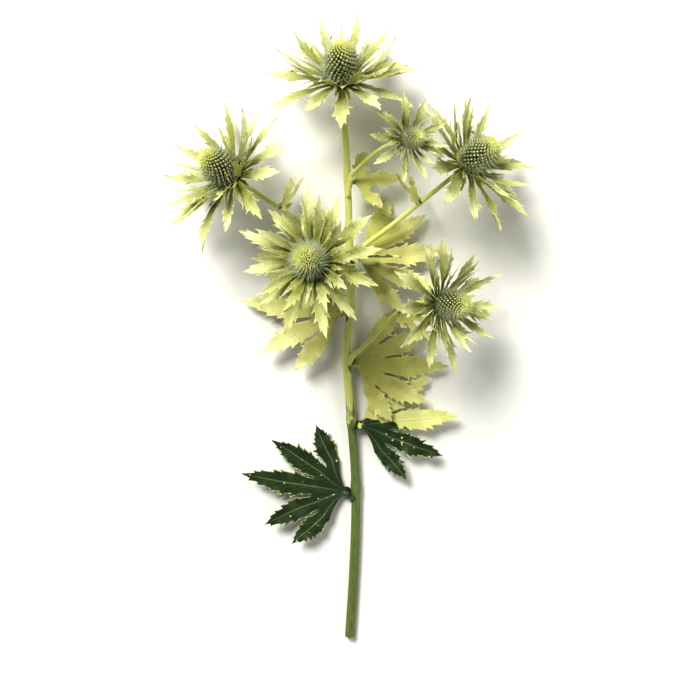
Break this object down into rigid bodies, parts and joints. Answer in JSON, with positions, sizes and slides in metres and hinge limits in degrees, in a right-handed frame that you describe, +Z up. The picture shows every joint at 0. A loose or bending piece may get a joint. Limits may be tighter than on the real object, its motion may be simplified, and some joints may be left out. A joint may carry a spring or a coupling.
{
  "type": "sea holly stem",
  "caption": "Cut branching sea holly stem lying down, with egg-shaped thistle cones in ruffs of spiny tinted bracts and spiny palmate leaves.",
  "frame": {"origin": "on the table the stem lies on, below the middle of its outline", "axes": "+Y along the stem from its cut end to its heads, +Z up from the table, +X to the right seen from above"},
  "size_m": [0.2949, 0.5381, 0.1448],
  "materials": {
    "tinted_bract": "pale lemon florist tint, satin",
    "tinted_leaf": "pale lemon florist tint, satin",
    "green_leaf": "dark green waxy leaf, partly dipped in tint",
    "flower_cone": "grey-green spiny florets, tinted crown",
    "tinted_stem": "ribbed stem, satin"
  },
  "bodies": {
    "root": {"main_stem": "tinted_stem", "flower_cone_top": "flower_cone", "inner_ruff_top": "tinted_bract", "outer_ruff_top": "tinted_bract", "flower_cone_left": "flower_cone", "inner_ruff_left": "tinted_bract", "outer_ruff_left": "tinted_bract", "side_stem_left": "tinted_stem", "flower_cone_right": "flower_cone", "inner_ruff_right": "tinted_bract", "outer_ruff_right": "tinted_bract", "side_stem_right": "tinted_stem", "flower_cone_upper": "flower_cone", "inner_ruff_upper": "tinted_bract", "outer_ruff_upper": "tinted_bract", "side_stem_upper": "tinted_stem", "flower_cone_lower": "flower_cone", "inner_ruff_lower": "tinted_bract", "outer_ruff_lower": "tinted_bract", "side_stem_lower": "tinted_stem", "flower_cone_young": "flower_cone", "inner_ruff_young": "tinted_bract", "outer_ruff_young": "tinted_bract", "side_stem_young": "tinted_stem", "leaf_low_left": "green_leaf", "leaf_low_right": "green_leaf", "leaf_mid_left": "tinted_leaf", "leaf_mid_right": "tinted_leaf", "bract_left": "tinted_leaf", "bract_right": "tinted_leaf", "bract_upper": "tinted_leaf", "bract_young": "tinted_leaf", "bractlet_left": "tinted_leaf", "bractlet_right": "tinted_leaf", "bractlet_lower": "tinted_leaf", "bractlet_upper": "tinted_leaf"}
  },
  "joints": []
}
